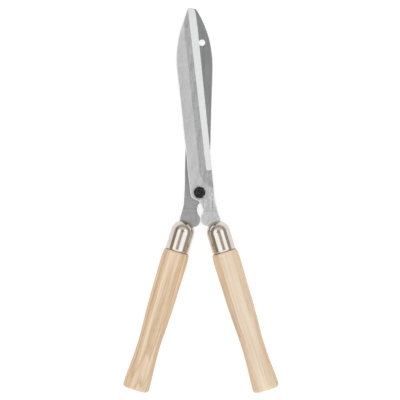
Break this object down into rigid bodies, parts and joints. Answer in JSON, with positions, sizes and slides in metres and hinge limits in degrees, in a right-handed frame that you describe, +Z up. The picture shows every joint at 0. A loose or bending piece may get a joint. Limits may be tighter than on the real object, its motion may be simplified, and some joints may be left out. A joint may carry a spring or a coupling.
{
  "type": "hedge shears",
  "caption": "Manual hedge shears with long bevelled steel blades lapped on a pivot bolt, domed bright ferrules and shaped ash handles.",
  "frame": {"origin": "middle of the closed shears' footprint, on the surface that the handles' flat undersides rest on", "axes": "+Y towards the blade tips, +X towards the front half's handle, +Z up along the pivot bolt, towards the nut"},
  "size_m": [0.1954, 0.4846, 0.031],
  "materials": {
    "blade_steel": "satin ground steel, with a brighter ground cutting bevel",
    "black_steel": "black oxide, semi-matt",
    "nylon": "dark nylon, matt",
    "spring_steel": "plain spring steel",
    "bright_plate": "polished bright plating with a faint warm cast",
    "ash_wood": "pale ash, sanded, thin matt varnish"
  },
  "bodies": {
    "rear_half": {"rear_blade": "blade_steel", "pivot_bolt": "black_steel", "pivot_nut": "black_steel", "nut_insert": "nylon", "spring_washer": "spring_steel", "rear_ferrule": "bright_plate", "rear_handle": "ash_wood"},
    "front_half": {"front_blade": "blade_steel", "front_ferrule": "bright_plate", "front_handle": "ash_wood"}
  },
  "joints": [
    {"name": "blade_pivot", "type": "hinge", "parent": "rear_half", "child": "front_half", "pos_m": [-0.00173, 0.00974, 0.0155], "axis": [0, 0, 1], "range_deg": [0, 105]}
  ]
}
